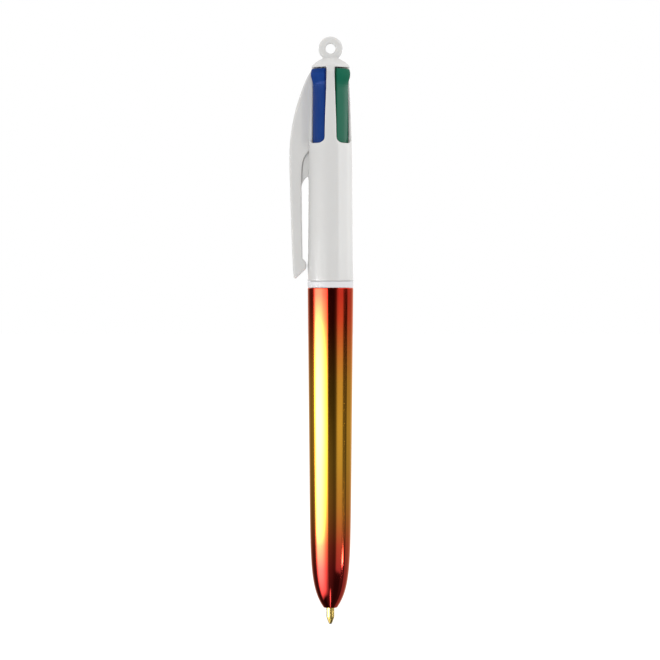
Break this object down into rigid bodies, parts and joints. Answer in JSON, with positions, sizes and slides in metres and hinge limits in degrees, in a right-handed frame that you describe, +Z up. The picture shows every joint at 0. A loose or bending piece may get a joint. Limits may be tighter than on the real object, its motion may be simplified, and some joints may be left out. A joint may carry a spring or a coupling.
{
  "type": "multicolour click pen",
  "caption": "Four-colour retractable ballpoint pen with side sliders, a metallised barrel, a pocket clip and a lanyard ring.",
  "frame": {"origin": "bottom of the ball in the writing point that is out, on the pen's axis", "axes": "+Z up the pen to the lanyard ring, -X towards the clip, -Y towards the blue and green sliders"},
  "size_m": [0.0159, 0.0114, 0.146],
  "materials": {
    "metallised_plastic": "mirror-metallised, red to gold to red",
    "white_plastic": "satin white",
    "band_plastic": "satin cool white",
    "blue_plastic": "satin",
    "green_plastic": "satin",
    "red_plastic": "satin",
    "black_plastic": "satin",
    "blue_refill": "translucent tube with blue ink",
    "green_refill": "translucent tube with green ink",
    "red_refill": "translucent tube with red ink",
    "black_refill": "translucent tube with black ink",
    "brass": "turned, bright",
    "ball_steel": "polished",
    "spring_steel": "drawn wire"
  },
  "bodies": {
    "barrel": {"lower_barrel": "metallised_plastic", "threaded_insert": "band_plastic", "upper_barrel": "white_plastic", "latch_core": "white_plastic", "lanyard_ring": "white_plastic", "blue_spring": "spring_steel", "green_spring": "spring_steel", "red_spring": "spring_steel", "black_spring": "spring_steel"},
    "clip": {"pocket_clip": "white_plastic"},
    "blue_slide_body": {"blue_slider": "blue_plastic", "blue_refill_tube": "blue_refill"},
    "blue_point_body": {"blue_point": "brass", "blue_ball": "ball_steel"},
    "green_slide_body": {"green_slider": "green_plastic", "green_refill_tube": "green_refill"},
    "green_point_body": {"green_point": "brass", "green_ball": "ball_steel"},
    "red_slide_body": {"red_slider": "red_plastic", "red_refill_tube": "red_refill"},
    "red_point_body": {"red_point": "brass", "red_ball": "ball_steel"},
    "black_slide_body": {"black_slider": "black_plastic", "black_refill_tube": "black_refill"},
    "black_point_body": {"black_point": "brass", "black_ball": "ball_steel"}
  },
  "joints": [
    {"name": "clip_flex", "type": "hinge", "parent": "barrel", "child": "clip", "pos_m": [-0.00858, 0, 0.1075], "axis": [0, 1, 0], "range_deg": [0, 5.5], "stiffness_Nm_per_rad": 0.8},
    {"name": "blue_slide", "type": "slide", "parent": "barrel", "child": "blue_slide_body", "axis": [0, 0, -1], "range_m": [0, 0.008], "stiffness_N_per_m": 110, "springref_m": -0.006, "deforming": ["blue_spring", "blue_refill_tube"]},
    {"name": "blue_steer", "type": "slide", "parent": "blue_slide_body", "child": "blue_point_body", "axis": [0.7071, 0.7071, 0], "range_m": [0, 0.0023], "deforming": ["blue_point", "blue_ball"]},
    {"name": "green_slide", "type": "slide", "parent": "barrel", "child": "green_slide_body", "axis": [0, 0, -1], "range_m": [0, 0.008], "stiffness_N_per_m": 110, "springref_m": -0.006, "deforming": ["green_spring", "green_refill_tube"]},
    {"name": "green_steer", "type": "slide", "parent": "green_slide_body", "child": "green_point_body", "axis": [-0.7071, 0.7071, 0], "range_m": [0, 0.0023], "deforming": ["green_point", "green_ball"]},
    {"name": "red_slide", "type": "slide", "parent": "barrel", "child": "red_slide_body", "axis": [0, 0, -1], "range_m": [0, 0.008], "stiffness_N_per_m": 110, "springref_m": -0.006, "deforming": ["red_spring", "red_refill_tube"]},
    {"name": "red_steer", "type": "slide", "parent": "red_slide_body", "child": "red_point_body", "axis": [-0.7071, -0.7071, 0], "range_m": [0, 0.0023], "deforming": ["red_point", "red_ball"]},
    {"name": "black_slide", "type": "slide", "parent": "barrel", "child": "black_slide_body", "axis": [0, 0, -1], "range_m": [-0.008, 0], "deforming": ["black_spring", "black_refill_tube"]},
    {"name": "black_steer", "type": "slide", "parent": "black_slide_body", "child": "black_point_body", "axis": [0.7071, -0.7071, 0], "range_m": [-0.0023, 0], "deforming": ["black_point", "black_ball"]}
  ],
  "couplings": [
    {"joint": "blue_steer", "follows": "blue_slide", "ratio": 0.2875},
    {"joint": "green_steer", "follows": "green_slide", "ratio": 0.2875},
    {"joint": "red_steer", "follows": "red_slide", "ratio": 0.2875},
    {"joint": "black_steer", "follows": "black_slide", "ratio": 0.2875}
  ]
}
